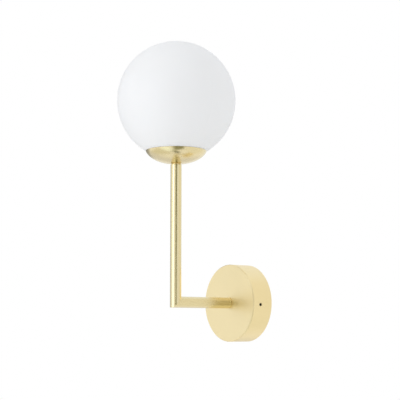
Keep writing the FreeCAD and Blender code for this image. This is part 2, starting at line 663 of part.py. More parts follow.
def block_fittings():
    """Brass clamps with their screws, and the two screws that fix the block to the strap."""
    level = -number(POLE_LEVEL)
    middle = -number(BLOCK_MIDDLE)
    back = -number(BLOCK_BACK)
    poles = [side * number("pole_pitch") for side in (-1, 0, 1)]
    offsets = [side * number("clamp_screw_offset") for side in (-1, 1)]
    sink = number("clamp_screw_sink")
    clamps = []
    screws = []
    for pole in poles:
        low = level - number("clamp_length") / 2
        clamp = cylinder("clamp_radius", "clamp_length", (pole, middle, low), (0, 0, 1))
        clamp = clamp.cut(cylinder("clamp_bore", "clamp_length", (pole, middle, low), (0, 0, 1)))
        for offset in offsets:
            start = (pole, back - sink, level + offset)
            tapped = cylinder("clamp_screw_radius + thread_gap", "block_depth / 2 - clamp_screw_sink",
                              start, (0, -1, 0))
            clamp = clamp.cut(tapped)
            screws.append(cylinder("clamp_screw_radius", "block_depth / 2 - clamp_screw_sink - thread_gap",
                                   start, (0, -1, 0)))
        clamps.append(clamp)
    group("terminal_clamps", clamps)
    group("terminal_screws", screws)
    fixings = []
    for side in (-1, 1):
        start = (side * number("pole_pitch") / 2, back - number("screw_end_gap"), level)
        reach = "block_depth + strap_wall - 2 * screw_end_gap"
        shank = cylinder("block_screw_radius", reach, start, (0, -1, 0))
        head = cylinder("block_head_radius", "block_head_height", start, (0, -1, 0))
        fixings.append(shank.fuse(head).removeSplitter())
    group("block_screws", fixings)


def earth_tag():
    """Crimped ring tag, drawn flat with its ring round the Z axis and its barrel along X."""
    body = new_body("earth_tag")
    plate = new_sketch(body, "XY_Plane")
    circle(plate, "tag_radius")
    pad(body, plate, "tag_wall")
    neck = new_sketch(body, "XY_Plane")
    rectangle(neck, "tag_radius / 2", "barrel_start + cutting_margin", "-1 * tag_neck", "tag_neck")
    pad(body, neck, "tag_wall")
    barrel = new_sketch(body, "YZ_Plane", "barrel_start")
    circle(barrel, "barrel_radius", "0", "barrel_radius")
    pad(body, barrel, "barrel_length")
    hole = new_sketch(body, "XY_Plane")
    circle(hole, "(earth_radius + earth_hole_gap)")
    cut_through(body, hole)
    crimp = new_sketch(body, "YZ_Plane", "barrel_start")
    circle(crimp, "(lead_radius + lead_gap)", "0", "barrel_radius")
    cut_down(body, crimp, "barrel_length + cutting_margin", upwards=True)
    # the ring lies on the strap's back and the barrel stands off towards the wall
    turn = FreeCAD.Rotation(FreeCAD.Vector(1, 0, 0), -90)
    place(body, turn, "0", STRAP_BACK, "earth_height")
    screw = pan_screw("tag_screw", "earth_radius", "tag_wall + strap_wall - screw_end_gap",
                      "earth_head_radius", "earth_head_height")
    place(screw, turn, "0", f"{STRAP_BACK} - tag_wall", "earth_height")


# Dish, gallery and lampholder

def globe_cup():
    """Spun dish: an elliptical wall, a flat seat on the riser and a rim bevelled to follow the glass."""
    flat = f"-1 * {DISH_FLAT_DROP}"
    floor = f"(dish_wall - {DISH_FLAT_DROP})"
    inner_width = f"({DISH_HALF_WIDTH} - dish_wall)"
    inner_height = "(dish_half_height - dish_wall)"
    inner_rim = f"({RIM_DROP} + rim_bevel)"
    inner_rim_radius = f"({inner_width} * sqrt(1 - ({inner_rim} / {inner_height})^2))"
    inner_flat_radius = f"({inner_width} * sqrt(1 - ({floor} / {inner_height})^2))"
    body = turned("globe_cup", [
        (HOLE, flat), ("dish_flat_radius", flat), ("rim_radius", f"-1 * {RIM_DROP}"),
        (inner_rim_radius, f"-1 * {inner_rim}"), (inner_flat_radius, floor), (HOLE, floor)],
        {1: ("ellipse", DISH_HALF_WIDTH, "dish_half_height", 1),
         3: ("ellipse", inner_width, inner_height, -1)})
    place(body, UPRIGHT, "0", RISER_REACH, DISH_CENTRE)


def spring_gallery():
    """Round plate with three leaf springs that rise through the globe's mouth and bear on its edge."""
    body = new_body("spring_gallery")
    plate = new_sketch(body, "XY_Plane")
    circle(plate, "gallery_radius")
    circle(plate, HOLE)
    pad(body, plate, "leaf_wall")
    leaf = new_sketch(body, "XZ_Plane")
    bearing = "(mouth_radius - glass_gap)"
    glass_edge = "(globe_height - sqrt((globe_radius - globe_wall)^2 - mouth_radius^2))"
    height = f"({glass_edge} - leaf_hold - {GALLERY})"
    tip = f"({bearing} - leaf_tip_draw)"
    tip_height = f"({height} + leaf_tip_rise)"
    outline(leaf, [
        ("gallery_radius - leaf_root", "0"), ("gallery_radius", "0"), (bearing, height),
        (tip, tip_height), (f"{tip} - leaf_slant_wall", tip_height),
        (f"{bearing} - leaf_slant_wall", height), ("gallery_radius - leaf_wall / 2", "leaf_wall"),
        ("gallery_radius - leaf_root", "leaf_wall")])
    first_leaf = pad(body, leaf, "leaf_width", both_sides=True)
    leaves = body.newObject("PartDesign::PolarPattern", "spring_gallery_leaves")
    leaves.Originals = [first_leaf]
    leaves.Axis = ([item for item in body.Origin.OriginFeatures if item.Role == "Z_Axis"][0], [""])
    leaves.Angle = 360
    leaves.Occurrences = 3
    body.Tip = leaves
    settle(body, True)
    place(body, UPRIGHT, "0", RISER_REACH, GALLERY)


def globe_seat_ring():
    """Soft wedge ring between the dish and the glass; its top follows the globe."""
    inner_width = f"({DISH_HALF_WIDTH} - dish_wall)"
    inner_height = "(dish_half_height - dish_wall)"

    def on_dish(radius):
        depth = f"{inner_height} * sqrt(1 - ({radius} / {inner_width})^2)"
        return f"({DISH_CENTRE} - globe_height - {depth} + seat_gap)"

    def on_globe(radius):
        return f"(-1 * sqrt((globe_radius + glass_gap)^2 - {radius}^2))"

    near = "(mouth_radius + seat_start * (rim_radius - mouth_radius))"
    far = "(mouth_radius + seat_end * (rim_radius - mouth_radius))"
    body = turned("globe_seat_ring", [
        (near, on_dish(near)), (far, on_dish(far)), (far, on_globe(far)), (near, on_globe(near))],
        {2: ("arc", "0", "0", -1)})
    place(body, UPRIGHT, "0", RISER_REACH, "globe_height")


def holder_bracket():
    """U of sheet steel that stands on the gallery plate and grips the lampholder's flats."""
    body = new_body("holder_bracket")
    profile = new_sketch(body, "YZ_Plane")
    inside = "(holder_flat + bracket_gap)"
    outside = f"({inside} + bracket_wall)"
    height = "(holder_lift + bracket_rise)"
    outline(profile, [
        (f"-1 * {outside}", "0"), (outside, "0"), (outside, height), (inside, height),
        (inside, "bracket_wall"), (f"-1 * {inside}", "bracket_wall"), (f"-1 * {inside}", height),
        (f"-1 * {outside}", height)])
    pad(body, profile, "bracket_width", both_sides=True)
    round_bends(body, "inner_bends", [
        {"y": inside, "z": "bracket_wall"}, {"y": f"-1 * {inside}", "z": "bracket_wall"}], "bracket_bend")
    round_bends(body, "outer_bends", [
        {"y": outside, "z": "0"}, {"y": f"-1 * {outside}", "z": "0"}], "bracket_bend + bracket_wall")
    hole = new_sketch(body, "XY_Plane")
    circle(hole, HOLE)
    cut_through(body, hole)
    side_holes = new_sketch(body, "XZ_Plane")
    circle(side_holes, "(side_screw_radius + hole_gap)", "0", "holder_lift + side_screw_height")
    cut_through(body, side_holes)
    place(body, UPRIGHT, "0", RISER_REACH, GALLERY_TOP)


def lampholder():
    """Ceramic two-pin lampholder: round, two flats, two slots and two blind screw holes."""
    body = turned("lampholder", [
        ("0", "0"), ("holder_radius", "0"), ("holder_radius", "holder_height - holder_chamfer"),
        ("holder_radius - holder_chamfer", "holder_height"), ("0", "holder_height")])
    flats = new_sketch(body, "XY_Plane")
    outer = "(holder_radius + cutting_margin)"
    rectangle(flats, f"-1 * {outer}", outer, "holder_flat", outer)
    rectangle(flats, f"-1 * {outer}", outer, f"-1 * {outer}", "-1 * holder_flat")
    cut_through(body, flats)
    slots = new_sketch(body, "XY_Plane")
    half_width = "(contact_width / 2 + contact_gap)"
    half_length = "(contact_length / 2 + contact_gap)"
    rectangle(slots, f"pin_pitch / 2 - {half_width}", f"pin_pitch / 2 + {half_width}",
              f"-1 * {half_length}", half_length)
    rectangle(slots, f"-1 * pin_pitch / 2 - {half_width}", f"{half_width} - pin_pitch / 2",
              f"-1 * {half_length}", half_length)
    cut_through(body, slots)
    depth = "side_screw_depth + screw_end_gap"
    near = new_sketch(body, "XZ_Plane", "holder_flat")
    circle(near, "(side_screw_radius + thread_gap)", "0", "side_screw_height")
    cut_down(body, near, depth)
    far = new_sketch(body, "XZ_Plane", "-1 * holder_flat")
    circle(far, "(side_screw_radius + thread_gap)", "0", "side_screw_height")
    cut_down(body, far, depth, upwards=True)
    place(body, UPRIGHT, "0", RISER_REACH, HOLDER_BASE)


def holder_fittings():
    """Sprung contact channels and the two side screws of the lampholder."""
    axis = -number(RISER_REACH)
    base = number(HOLDER_BASE)
    width, length, wall = number("contact_width"), number("contact_length"), number("contact_wall")
    foot = base + number("contact_lift")
    height = number("holder_height - contact_lift - contact_sink")
    contacts = []
    for side in (-1, 1):
        middle = side * number("pin_pitch") / 2
        channel = Part.makeBox(width, length, height,
                               FreeCAD.Vector(middle - width / 2, axis - length / 2, foot))
        gap = Part.makeBox(width - 2 * wall, length, height,
                           FreeCAD.Vector(middle - width / 2 + wall, axis - length / 2, foot + wall))
        contacts.append(channel.cut(gap))
    group("holder_contacts", contacts)
    screws = []
    level = base + number("side_screw_height")
    outside = number("holder_flat + bracket_gap + bracket_wall")
    for side in (-1, 1):
        start = (0, axis + side * outside, level)
        reach = "bracket_gap + bracket_wall + side_screw_depth"
        shank = cylinder("side_screw_radius", reach, start, (0, -side, 0))
        head = cylinder("side_head_radius", "side_head_height", start, (0, side, 0))
        screws.append(shank.fuse(head).removeSplitter())
    group("holder_screws", screws)


def cup_assembly():
    """Everything on the nipple that joins riser, dish, gallery and lampholder."""
    cup_nipple = nipple("cup_nipple", f"{CUP_NUT} + nut_height + nipple_proud - {RISER_TOP} + nipple_grip")
    place(cup_nipple, UPRIGHT, "0", RISER_REACH, f"{RISER_TOP} - nipple_grip")
    spacer = ring("cup_spacer", HOLE, "(dish_flat_radius - spacer_inset)", "spacer_height")
    place(spacer, UPRIGHT, "0", RISER_REACH, DISH_FLOOR)
    washer = ring("cup_lock_washer", HOLE, "washer_radius", "washer_height", "washer_height / 4")
    place(washer, UPRIGHT, "0", RISER_REACH, CUP_WASHER)
    nut = thin_nut("cup_nut")
    place(nut, UPRIGHT, "0", RISER_REACH, CUP_NUT)


# Glass and bulb

def glass_globe():
    """Blown opal globe without a neck, ground open underneath."""
    inner = "(globe_radius - globe_wall)"
    body = turned("glass_globe", [
        ("mouth_radius", "-1 * sqrt(globe_radius^2 - mouth_radius^2)"), ("0", "globe_radius"), ("0", inner),
        ("mouth_radius", f"-1 * sqrt({inner}^2 - mouth_radius^2)")],
        {0: ("arc", "0", "0", 1), 2: ("arc", "0", "0", -1)})
    place(body, UPRIGHT, "0", RISER_REACH, "globe_height")


def bulb():
    """Two-pin capsule bulb: base, frosted diffuser and wire-loop pins."""
    spigot = "(bulb_radius - bulb_wall - spigot_gap)"
    base = turned("bulb_base", [
        ("0", "0"), ("bulb_foot_radius", "0"), ("bulb_base_radius", "bulb_base_radius - bulb_foot_radius"),
        ("bulb_base_radius", "bulb_base_height"), (spigot, "bulb_base_height"),
        (spigot, "bulb_base_height + spigot_height"), ("0", "bulb_base_height + spigot_height")])
    place(base, UPRIGHT, "0", RISER_REACH, BULB_FOOT)
    crown = "(bulb_height - bulb_radius)"
    inner = "(bulb_radius - bulb_wall)"
    diffuser = turned("bulb_diffuser", [
        (inner, "bulb_base_height"), ("bulb_radius", "bulb_base_height"), ("bulb_radius", crown),
        ("0", "bulb_height"), ("0", "bulb_height - bulb_wall"), (inner, crown)],
        {2: ("arc", "0", crown, 1), 4: ("arc", "0", crown, -1)})
    place(diffuser, UPRIGHT, "0", RISER_REACH, BULB_FOOT)
    axis = -number(RISER_REACH)
    foot = number(BULB_FOOT)
    loop, length = number("pin_loop"), number("pin_length")
    pins = []
    for side in (-1, 1):
        across = side * number("pin_pitch") / 2
        top_near = FreeCAD.Vector(across, axis - loop, foot)
        low_near = FreeCAD.Vector(across, axis - loop, foot - length + loop)
        bottom = FreeCAD.Vector(across, axis, foot - length)
        low_far = FreeCAD.Vector(across, axis + loop, foot - length + loop)
        top_far = FreeCAD.Vector(across, axis + loop, foot)
        path = Part.Wire([Part.LineSegment(top_near, low_near).toShape(),
                          Part.Arc(low_near, bottom, low_far).toShape(),
                          Part.LineSegment(low_far, top_far).toShape()])
        pins.append(tube_along(path, number("pin_radius")))
    group("bulb_pins", pins)


# Internal leads

def tube_along(path, radius):
    first = path.Edges[0]
    start = first.valueAt(first.FirstParameter)
    direction = first.tangentAt(first.FirstParameter)
    section = Part.Wire([Part.Circle(start, direction, radius).toShape()])
    return path.makePipeShell([section], True, False)


def rounded_path(points, radii):
    """Straight runs through the points, joined by tangent arcs of the given radii."""
    edges = []
    last = points[0]
    for before, corner, after, radius in zip(points, points[1:], points[2:], radii):
        come = (corner - before).normalize()
        go = (after - corner).normalize()
        turn = come.getAngle(go)
        cut_back = radius * math.tan(turn / 2)
        start = corner - come * cut_back
        end = corner + go * cut_back
        inward = (go - come).normalize()
        middle = corner + inward * (radius / math.cos(turn / 2) - radius)
        edges.append(Part.LineSegment(last, start).toShape())
        edges.append(Part.Arc(start, middle, end).toShape())
        last = end
    edges.append(Part.LineSegment(last, points[-1]).toShape())
    return Part.Wire(edges)


def lead(name, points, radii):
    """One insulated lead; its volume is compared with its section times its length."""
    path = rounded_path([FreeCAD.Vector(*point) for point in points], radii)
    radius = number("lead_radius")
    shape = tube_along(path, radius)
    expected = math.pi * radius ** 2 * path.Length
    if abs(shape.Volume / expected - 1) > LEAD_TOLERANCE:
        raise ValueError(f"{name}: the tube doesn't follow its path")
    print(f"{name}: {path.Length:.1f} mm long, bends {[round(bend, 1) for bend in radii]}")
    feature = doc.addObject("Part::Feature", name)
    feature.Label = name
    feature.Shape = shape
    feature.Placement = FreeCAD.Placement()
    pieces.append(feature)


def internal_leads():
    riser = -number(RISER_REACH)
    offset = number("lead_offset")
    contact = number(HOLDER_BASE) + number("contact_lift")
    entry = number(HOLDER_BASE) - number("lead_gap")
    nipple_top = number(f"{CUP_NUT} + nut_height + nipple_proud")
    pole_reach = -number(BLOCK_MIDDLE)
    clamp_end = -number(POLE_LEVEL) + number("clamp_length") / 2
    pole_entry = -number("block_top") + number("lead_straight")
    bend, elbow, behind = number("lead_bend"), number("elbow_bend"), number("canopy_bend")
    beside = number("pole_bend")
    drop = pole_entry + number("lead_drop")
    for name, side, pole in (("neutral_lead", -1, -number("pole_pitch")), ("live_lead", 1, 0.0)):
        inside = side * offset
        points = [
            (side * number("pin_pitch") / 2, riser, contact), (side * number("pin_pitch") / 2, riser, entry),
            (inside, riser, nipple_top + number("lead_radius")), (inside, riser, 0), (inside, pole_reach, 0),
            (inside, pole_reach, drop), (pole, pole_reach, pole_entry), (pole, pole_reach, clamp_end)]
        lead(name, points, [bend, bend, elbow, behind, beside, beside])
    pitch = number("pole_pitch")
    out = number("earth_lead_out")
    lean = number("earth_lead_lean")
    tag_reach = -number(f"{STRAP_BACK} - barrel_radius")
    level = number("earth_height")
    start = number("barrel_start") + number("lead_straight") / 2
    points = [
        (start, tag_reach, level), (out, tag_reach, level), (out - lean, pole_reach, drop),
        (pitch, pole_reach, pole_entry), (pitch, pole_reach, clamp_end)]
    lead("earth_lead", points, [behind, beside, beside])


def check_and_export():
    doc.recompute()
    for item in doc.Objects:
        if "Invalid" in item.State or "Error" in item.State:
            raise ValueError(f"{item.Name} failed: {item.State}")
    for piece in pieces:
        if piece.Shape.isNull() or not piece.Shape.isValid():
            raise ValueError(f"{piece.Label} has no valid shape")
    os.makedirs("parts", exist_ok=True)
    for piece in pieces:
        piece.Shape.exportStep(f"parts/{piece.Label}.step")
    print(f"{len(pieces)} nodes")


wall_bracket()
earth_fixings()
set_screw("set_screw_right", POINTING_RIGHT, "1")
set_screw("set_screw_left", POINTING_LEFT, "-1")
canopy_cover()
arm_and_riser()
terminal_strap()
terminal_block()
block_fittings()
earth_tag()
globe_cup()
cup_assembly()
spring_gallery()
globe_seat_ring()
holder_bracket()
lampholder()
holder_fittings()
glass_globe()
bulb()
internal_leads()
check_and_export()
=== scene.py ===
import math

import bmesh
import bpy
from mathutils import Matrix, Vector


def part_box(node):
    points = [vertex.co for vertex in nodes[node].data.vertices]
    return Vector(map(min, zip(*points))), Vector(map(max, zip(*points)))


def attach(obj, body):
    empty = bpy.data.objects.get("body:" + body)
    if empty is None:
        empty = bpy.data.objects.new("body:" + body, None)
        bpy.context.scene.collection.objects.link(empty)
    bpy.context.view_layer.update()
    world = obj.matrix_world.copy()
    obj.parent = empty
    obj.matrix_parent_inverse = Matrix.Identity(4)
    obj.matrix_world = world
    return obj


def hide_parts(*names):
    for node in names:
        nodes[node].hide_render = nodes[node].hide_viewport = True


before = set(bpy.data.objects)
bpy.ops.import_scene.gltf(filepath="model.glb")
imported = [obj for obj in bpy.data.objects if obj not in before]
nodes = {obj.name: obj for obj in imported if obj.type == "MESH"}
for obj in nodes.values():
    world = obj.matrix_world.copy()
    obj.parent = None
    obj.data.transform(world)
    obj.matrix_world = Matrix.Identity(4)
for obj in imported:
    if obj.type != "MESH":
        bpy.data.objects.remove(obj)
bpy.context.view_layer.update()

MM = 0.001
MICRON = 0.000001
X, Y, Z = Vector((1, 0, 0)), Vector((0, 1, 0)), Vector((0, 0, 1))

ARM_AXIS = Vector((0.0, 0.0, 0.0))  # a point on the axis of arm and canopy, which runs along Y
RISER_AXIS = Vector((0.0, -0.115, 0.0))  # a point on the axis of riser, cup and globe, which runs along Z

BRASS = (0.83, 0.715, 0.435)
# The canopy's brass is the same brass painted lighter: painted light standing for the brighter light on the
# canopy
CANOPY_BRASS_PAINTED_LIGHT = (0.94, 0.793, 0.475)
WHITE = (1.0, 1.0, 1.0)
NOISE_LOW, NOISE_HIGH = 0.3, 0.7  # most of a noise texture lies between these values


# Materials. Object coordinates are the resting place of a piece in metres, so scales count per metre.

def set_inputs(node, values):
    for socket, value in values.items():
        node.inputs[socket].default_value = value


class Surface:
    """A principled material with helpers that add its texture nodes."""

    def __init__(self, name, color, roughness, metallic=0.0, **sockets):
        self.material = bpy.data.materials.new(name)
        self.material.use_nodes = True
        self.tree = self.material.node_tree
        self.shader = self.tree.nodes["Principled BSDF"]
        self.shader.inputs["Base Color"].default_value = (*color, 1.0)
        self.shader.inputs["Roughness"].default_value = roughness
        self.shader.inputs["Metallic"].default_value = metallic
        for socket, value in sockets.items():
            self.shader.inputs[socket.replace("_", " ")].default_value = value
        self.place = self.node("ShaderNodeTexCoord").outputs["Object"]

    def node(self, kind, **settings):
        made = self.tree.nodes.new(kind)
        for key, value in settings.items():
            setattr(made, key, value)
        return made

    def link(self, source, target):
        self.tree.links.new(source, target)

    def vector(self, operation, first, second):
        made = self.node("ShaderNodeVectorMath", operation=operation)
        self.link(first, made.inputs[0])
        made.inputs[1].default_value = second
        return made

    def turned_place(self, axis, through):
        """(radius, height) of a point about an axis through a given place, so that textures form rings."""
        off = self.vector("SUBTRACT", self.place, through).outputs[0]
        across = self.vector("MULTIPLY", off, [1.0 - part for part in axis]).outputs[0]
        along = self.vector("DOT_PRODUCT", off, axis)
        length = self.node("ShaderNodeVectorMath", operation="LENGTH")
        self.link(across, length.inputs[0])
        both = self.node("ShaderNodeCombineXYZ")
        self.link(length.outputs["Value"], both.inputs[0])
        self.link(along.outputs["Value"], both.inputs[1])
        return both.outputs[0]

    def stretched_place(self, scale):
        return self.vector("MULTIPLY", self.place, scale).outputs[0]

    def noise(self, scale, detail, place=None):
        made = self.node("ShaderNodeTexNoise")
        made.inputs["Scale"].default_value = scale
        made.inputs["Detail"].default_value = detail
        self.link(place or self.place, made.inputs["Vector"])
        return made.outputs["Fac"]

    def colors(self, value, *stops):
        """Base colour from a ramp; each stop is (place, colour)."""
        ramp = self.node("ShaderNodeValToRGB")
        elements = ramp.color_ramp.elements
        while len(elements) < len(stops):
            elements.new(0.5)
        for element, (place, color) in zip(elements, stops):
            element.position = place
            element.color = (*color, 1.0)
        self.link(value, ramp.inputs["Fac"])
        self.link(ramp.outputs["Color"], self.shader.inputs["Base Color"])

    def rough(self, value, low, high):
        """Roughness between low and high, after a noise texture."""
        made = self.node("ShaderNodeMapRange")
        set_inputs(made, {"From Min": NOISE_LOW, "From Max": NOISE_HIGH, "To Min": low, "To Max": high})
        self.link(value, made.inputs["Value"])
        self.link(made.outputs[0], self.shader.inputs["Roughness"])

    def bump(self, value, depth):
        """Relief of the given depth in metres after a noise texture."""
        made = self.node("ShaderNodeBump")
        set_inputs(made, {"Strength": 1.0, "Distance": depth})
        self.link(value, made.inputs["Height"])
        self.link(made.outputs["Normal"], self.shader.inputs["Normal"])


def shade(color, factor):
    return tuple(channel * factor for channel in color)


def satin_brass(name, axis, through, low=0.24, high=0.29, relief=0.4 * MICRON, color=BRASS):
    """Finely turned, lacquered brass: rings round its axis, a cloudy tone and slightly uneven gloss."""
    brass = Surface(name, color, (low + high) / 2, 1.0)
    cloud = brass.noise(22.0, 3.0)
    rings = brass.turned_place(axis, through)
    brass.colors(cloud, (0.30, shade(color, 0.985)), (0.52, color), (0.72, shade(color, 1.015)))
    brass.rough(brass.noise(30.0, 2.0), low, high)
    brass.bump(brass.noise(500.0, 0.0, rings), relief)
    return brass.material


def turned_brass():
    brass = Surface("turned_brass", (0.82, 0.66, 0.34), 0.3, 1.0)
    brass.colors(brass.noise(90.0, 3.0), (0.25, (0.74, 0.58, 0.29)), (0.6, (0.84, 0.68, 0.36)))
    brass.rough(brass.noise(600.0, 2.0), 0.24, 0.38)
    brass.bump(brass.noise(1500.0, 2.0), 6 * MICRON)
    return brass.material


def zinc_steel():
    """Bright zinc plate with the faint streaks of rolled strip."""
    zinc = Surface("zinc_steel", (0.70, 0.71, 0.73), 0.34, 1.0)
    streaks = zinc.noise(60.0, 3.0, zinc.stretched_place((1.0, 1.0, 9.0)))
    zinc.colors(streaks, (0.3, (0.60, 0.62, 0.64)), (0.55, (0.71, 0.72, 0.74)),
                (0.8, (0.75, 0.75, 0.73)))
    zinc.rough(zinc.noise(240.0, 3.0), 0.26, 0.44)
    zinc.bump(zinc.noise(900.0, 3.0), 8 * MICRON)
    return zinc.material


def spring_steel():
    steel = Surface("spring_steel", (0.58, 0.58, 0.57), 0.3, 1.0)
    steel.colors(steel.noise(140.0, 3.0), (0.3, (0.50, 0.50, 0.49)), (0.7, (0.62, 0.62, 0.60)))
    steel.rough(steel.noise(700.0, 2.0, steel.stretched_place((1.0, 1.0, 0.15))), 0.24, 0.38)
    steel.bump(steel.noise(1800.0, 1.0, steel.stretched_place((1.0, 1.0, 0.1))), 4 * MICRON)
    return steel.material


def black_steel():
    steel = Surface("set_screw_steel", (0.10, 0.095, 0.08), 0.42, 0.8)
    steel.colors(steel.noise(500.0, 3.0), (0.3, (0.06, 0.055, 0.045)), (0.75, (0.15, 0.135, 0.11)))
    steel.rough(steel.noise(900.0, 2.0), 0.35, 0.55)
    steel.bump(steel.noise(2500.0, 2.0), 5 * MICRON)
    return steel.material


def nickel():
    metal = Surface("contact_metal", (0.75, 0.73, 0.68), 0.2, 1.0)
    metal.colors(metal.noise(300.0, 2.0), (0.3, (0.68, 0.66, 0.61)), (0.7, (0.80, 0.78, 0.73)))
    metal.rough(metal.noise(800.0, 2.0), 0.15, 0.28)
    metal.bump(metal.noise(1600.0, 2.0), 3 * MICRON)
    return metal.material


def opal_glass():
    """White opal glass with an etched, satin skin."""
    opal = Surface("opal_glass", (0.875, 0.885, 0.90), 0.5, IOR=1.45)
    set_inputs(opal.shader, {"Subsurface Weight": 0.25, "Subsurface Radius": (1.0, 0.95, 0.9),
                             "Subsurface Scale": 3 * MM})
    opal.colors(opal.noise(14.0, 2.0), (0.3, (0.868, 0.878, 0.892)), (0.7, (0.882, 0.892, 0.906)))
    opal.rough(opal.noise(120.0, 3.0), 0.46, 0.54)
    opal.bump(opal.noise(2200.0, 2.0), 4 * MICRON)
    return opal.material


def ceramic():
    clay = Surface("lampholder_ceramic", (0.80, 0.77, 0.70), 0.6)
    clay.colors(clay.noise(420.0, 4.0), (0.28, (0.72, 0.68, 0.60)), (0.5, (0.80, 0.77, 0.70)),
                (0.8, (0.84, 0.82, 0.76)))
    clay.rough(clay.noise(700.0, 3.0), 0.5, 0.75)
    clay.bump(clay.noise(1300.0, 4.0), 20 * MICRON)
    return clay.material


def rubber():
    soft = Surface("seat_rubber", (0.74, 0.74, 0.71), 0.62)
    set_inputs(soft.shader, {"Subsurface Weight": 0.2, "Subsurface Scale": 2 * MM})
    soft.colors(soft.noise(160.0, 3.0), (0.3, (0.70, 0.70, 0.67)), (0.7, (0.77, 0.77, 0.74)))
    soft.rough(soft.noise(500.0, 2.0), 0.55, 0.72)
    soft.bump(soft.noise(1700.0, 3.0), 8 * MICRON)
    return soft.material


def moulded(name, color, roughness, grain=1400.0, depth=8 * MICRON):
    """Moulded plastic: a fine spark-eroded grain and a slightly cloudy tone."""
    plastic = Surface(name, color, roughness)
    plastic.colors(plastic.noise(110.0, 3.0), (0.3, shade(color, 0.95)), (0.7, shade(color, 1.03)))
    plastic.rough(plastic.noise(500.0, 2.0), roughness - 0.05, roughness + 0.08)
    plastic.bump(plastic.noise(grain, 2.0), depth)
    return plastic.material


def insulation(name, color, stripe=None):
    """Glossy cable insulation; stripe is the second colour of an earth lead."""
    plastic = Surface(name, color, 0.32)
    if stripe:
        bands = plastic.node("ShaderNodeTexWave", wave_type="BANDS", bands_direction="DIAGONAL")
        set_inputs(bands, {"Scale": 110.0, "Distortion": 0.4})
        plastic.link(plastic.place, bands.inputs["Vector"])
        plastic.colors(bands.outputs["Fac"], (0.46, color), (0.54, stripe))
    else:
        plastic.colors(plastic.noise(260.0, 2.0), (0.3, shade(color, 0.88)), (0.7, shade(color, 1.1)))
    plastic.rough(plastic.noise(700.0, 2.0), 0.26, 0.4)
    plastic.bump(plastic.noise(1500.0, 2.0), 5 * MICRON)
    return plastic.material


def coat(mesh, material):
    """Gives the whole mesh one material."""
    mesh.materials.clear()
    mesh.materials.append(material)
    for polygon in mesh.polygons:
        polygon.material_index = 0


def dress(material, *names):
    for name in names:
        coat(nodes[name].data, material)


# The canopy gets the lighter brass, which is painted light rather than a brass of its own
dress(satin_brass("canopy_brass_painted_light", Y, ARM_AXIS, 0.40, 0.44, 0.5 * MICRON, CANOPY_BRASS_PAINTED_LIGHT), "canopy_cover")
dress(satin_brass("arm_brass", Y, ARM_AXIS), "arm_tube")
dress(satin_brass("riser_brass", Z, RISER_AXIS), "riser_tube")
dress(satin_brass("cup_brass", Z, RISER_AXIS), "globe_cup")
TURNED = turned_brass()
ZINC = zinc_steel()
dress(TURNED, "arm_bush", "riser_bush", "cup_spacer", "terminal_clamps")
dress(ZINC, "wall_bracket", "terminal_strap", "canopy_nut", "cup_nut", "holder_bracket", "earth_washer",
      "earth_tag")
dress(spring_steel(), "spring_gallery")
dress(black_steel(), "set_screw_left", "set_screw_right")
dress(nickel(), "holder_contacts", "bulb_pins")
dress(opal_glass(), "glass_globe")
dress(ceramic(), "lampholder")
dress(rubber(), "globe_seat_ring")
dress(moulded("block_plastic", (0.80, 0.80, 0.76), 0.42), "terminal_block")
dress(moulded("bulb_plastic", (0.84, 0.84, 0.82), 0.4), "bulb_base")
dress(moulded("bulb_frosted", (0.88, 0.87, 0.82), 0.55, 2200.0, 4 * MICRON), "bulb_diffuser")
dress(insulation("lead_brown", (0.12, 0.05, 0.025)), "live_lead")
dress(insulation("lead_blue", (0.03, 0.10, 0.42)), "neutral_lead")
dress(insulation("lead_green", (0.06, 0.30, 0.06), (0.72, 0.60, 0.04)), "earth_lead")


# Threads, screw recesses and toothed washers. They replace their plain CAD nodes and keep the same outer
# sizes. Their sizes are in millimetres.

THREAD_PITCH = 1.0
THREAD_DEPTH = 0.55
THREAD_CREST = 5.0  # radius over the thread
THREAD_BORE = 3.5  # radius of the hole
THREAD_SIDES = 48
ROWS_PER_TURN = 8
THREAD_FLAT = 0.08  # half the flat of the crest, as a share of the pitch
THREAD_FLANK = 0.34  # run of one flank, as a share of the pitch
THREAD_SHARP = 70  # degrees from which an edge of the thread stays sharp

WELD_GAP = 0.002  # points of a CAD mesh that lie closer than this are one
TEETH = 18
GAP_RADIUS = 7.6
GAP_HALF_SIZE = (1.1, 0.45, 1.0)  # outwards, along the rim and through the washer

# Length, width and depth of the recesses; a tilt is the rise of a slot over its run.
CROSS_RECESS = (4.4, 0.9, 1.5)
HOLDER_SLOT = (7.0, 0.8, 0.9)
CLAMP_SLOT = (3.0, 0.45, 0.7)
BLOCK_SLOT = (4.4, 0.5, 0.6)
HOLDER_TILTS = (0.35, -0.8)
BLOCK_TILT = 0.2
CLAMP_TURN, CLAMP_TURN_STEP = 25, 47  # degrees at which the first clamp slot stands, and from one to the next
CLAMP_HEAD = 1.1  # radius of a clamp screw's head
BLOCK_HEAD = 1.7  # radius of a block screw's head


def add_to_scene(name, data):
    made = bpy.data.objects.new(name, data)
    bpy.context.scene.collection.objects.link(made)
    return made


def corners(node):
    """The lowest and the highest corner of a CAD node in millimetres."""
    return [Vector(corner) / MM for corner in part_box(node)]


def finish_piece(name, mesh, node, body, material, smooth_below=35):
    coat(mesh, material)
    mesh.shade_smooth()
    mesh.set_sharp_from_angle(angle=math.radians(smooth_below))
    piece = add_to_scene(name, mesh)
    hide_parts(node)
    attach(piece, body)


def thread_radius(height, length, step):
    """Radius of a thread at a height over its end and at a step round it; it fades out at both ends."""
    phase = (height / THREAD_PITCH - step / THREAD_SIDES) % 1.0
    flank = max(0.0, min(1.0, (abs(phase - 0.5) - THREAD_FLAT) / THREAD_FLANK))
    end = min(height, length - height)
    return min(THREAD_CREST - THREAD_DEPTH * flank, THREAD_CREST - THREAD_DEPTH + end)


